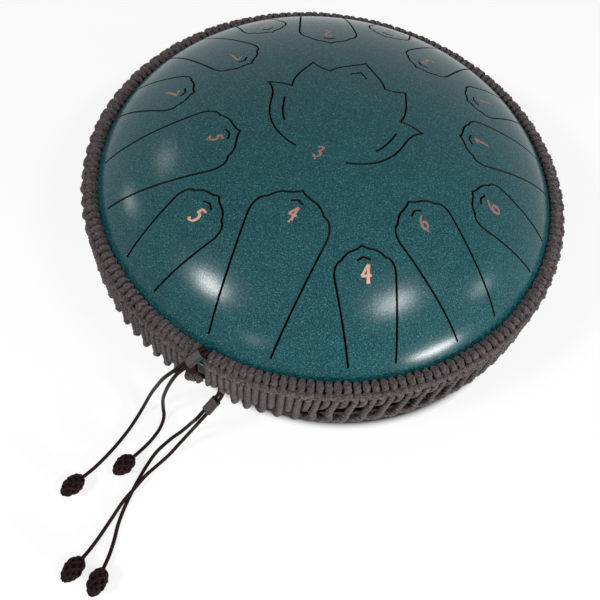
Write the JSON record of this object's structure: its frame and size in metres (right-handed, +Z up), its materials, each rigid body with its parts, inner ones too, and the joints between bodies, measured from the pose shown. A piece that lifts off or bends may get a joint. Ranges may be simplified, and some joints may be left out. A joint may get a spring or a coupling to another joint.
{
  "type": "steel tongue drum",
  "caption": "Lens-shaped steel tongue drum with petal-shaped tongue slits and a lotus cut in its dome, rubber feet, and a knotted rope cover drawn round its rim.",
  "frame": {"origin": "on the surface that the drum stands on, under the middle of its rim", "axes": "+Z up along the drum's axis, -Y towards the player, where the drawcords leave the rope cover, +X to the player's right"},
  "size_m": [0.3681, 0.4972, 0.163],
  "materials": {
    "teal_powder_coat": "satin dark teal powder coat with fine dark and light specks",
    "weld_steel": "ground weld bead",
    "black_rubber": "moulded matt black",
    "grey_cotton_rope": "three-strand twisted cotton rope, warm grey",
    "brown_thread": "waxed dark brown whipping thread",
    "brown_cord": "smooth waxed dark brown cord",
    "brown_leather": "dark brown leather, lightly worn"
  },
  "bodies": {
    "drum": {"upper_shell": "teal_powder_coat", "lower_shell": "teal_powder_coat", "rim_weld": "weld_steel", "foot_1": "black_rubber", "foot_2": "black_rubber", "foot_3": "black_rubber", "foot_4": "black_rubber", "rope_cover": "grey_cotton_rope", "end_whipping": "brown_thread", "upper_drawcord": "brown_cord", "lower_drawcord": "brown_cord", "upper_tail_long": "brown_cord", "upper_tail_short": "brown_cord", "lower_tail_long": "brown_cord", "lower_tail_short": "brown_cord", "upper_knot_long": "brown_cord", "upper_knot_short": "brown_cord", "lower_knot_long": "brown_cord", "lower_knot_short": "brown_cord"},
    "upper_slider": {"upper_cord_slider": "brown_leather"},
    "lower_slider": {"lower_cord_slider": "brown_leather"}
  },
  "joints": [
    {"name": "upper_slider_slide", "type": "slide", "parent": "drum", "child": "upper_slider", "axis": [-0.5533, -0.664, -0.503], "range_m": [0, 0.008]},
    {"name": "lower_slider_slide", "type": "slide", "parent": "drum", "child": "lower_slider", "axis": [-0.382, -0.6535, -0.6535], "range_m": [0, 0.008]}
  ]
}
